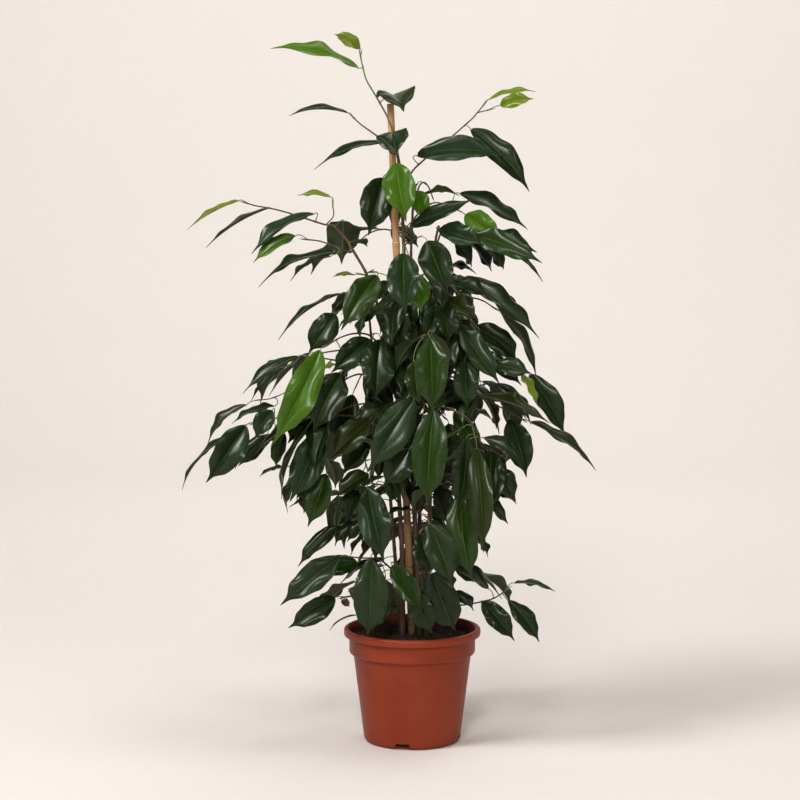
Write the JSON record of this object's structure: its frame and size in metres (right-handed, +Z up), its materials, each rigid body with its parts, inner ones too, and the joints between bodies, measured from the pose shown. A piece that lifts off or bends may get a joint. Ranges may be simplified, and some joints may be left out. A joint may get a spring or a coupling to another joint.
{
  "type": "potted weeping fig",
  "caption": "Young weeping fig with drooping glossy leaves on thin woody stems, propped by a bamboo cane, in a stepped plastic nursery pot.",
  "frame": {"origin": "centre of the pot's underside, on the surface it stands on", "axes": "+Z up along the plant's height, -Y to the side seen in the picture, +X to its right"},
  "size_m": [0.5646, 0.4408, 0.9764],
  "materials": {
    "pot_plastic": "moulded terracotta plastic with a soft sheen",
    "potting_soil": "dark crumbly potting soil with bark chips",
    "bamboo": "split-grained bamboo cane, browner towards its foot",
    "bark": "fine reddish brown bark with pale pores",
    "leaf": "dark green waxy leaf with fine side veins",
    "young_leaf": "bright green waxy young leaf"
  },
  "bodies": {
    "root": {"branch_cane_peek": "leaf", "branch_crown_front": "young_leaf", "branch_crown_left": "leaf", "branch_crown_right": "young_leaf", "branch_dark_heart": "leaf", "branch_foot_front": "leaf", "branch_foot_left": "leaf", "branch_foot_left_low": "leaf", "branch_foot_right": "leaf", "branch_heart": "young_leaf", "branch_heart_low": "leaf", "branch_left_arm": "young_leaf", "branch_left_bough": "leaf", "branch_left_drape": "leaf", "branch_left_face": "leaf", "branch_left_fill": "leaf", "branch_left_hang": "leaf", "branch_left_inner": "leaf", "branch_left_knee": "leaf", "branch_left_reach": "leaf", "branch_left_ribbon": "leaf", "branch_left_shelf": "leaf", "branch_low_face": "leaf", "branch_low_right_face": "leaf", "branch_mid_fill": "leaf", "branch_rear_crown": "leaf", "branch_rear_fall_left": "leaf", "branch_rear_fall_right": "leaf", "branch_rear_high_left": "leaf", "branch_rear_high_right": "leaf", "branch_rear_low": "leaf", "branch_rear_mid": "leaf", "branch_rear_mid_left": "leaf", "branch_rear_mid_right": "leaf", "branch_rear_skirt": "leaf", "branch_rear_skirt_left": "leaf", "branch_rear_skirt_right": "leaf", "branch_right_apron": "leaf", "branch_right_arm": "leaf", "branch_right_crest": "leaf", "branch_right_long": "leaf", "branch_right_pendant": "leaf", "branch_right_shoulder": "leaf", "branch_right_spur": "leaf", "branch_right_sweep": "leaf", "branch_side_left": "leaf", "branch_side_right": "leaf", "branch_top_shoot": "young_leaf", "branch_upper_face": "leaf", "cane": "bamboo", "pot": "pot_plastic", "soil": "potting_soil", "stem_back": "bark", "stem_leader": "bark", "stem_left": "bark", "stem_low": "bark", "stem_right": "bark"}
  },
  "joints": []
}
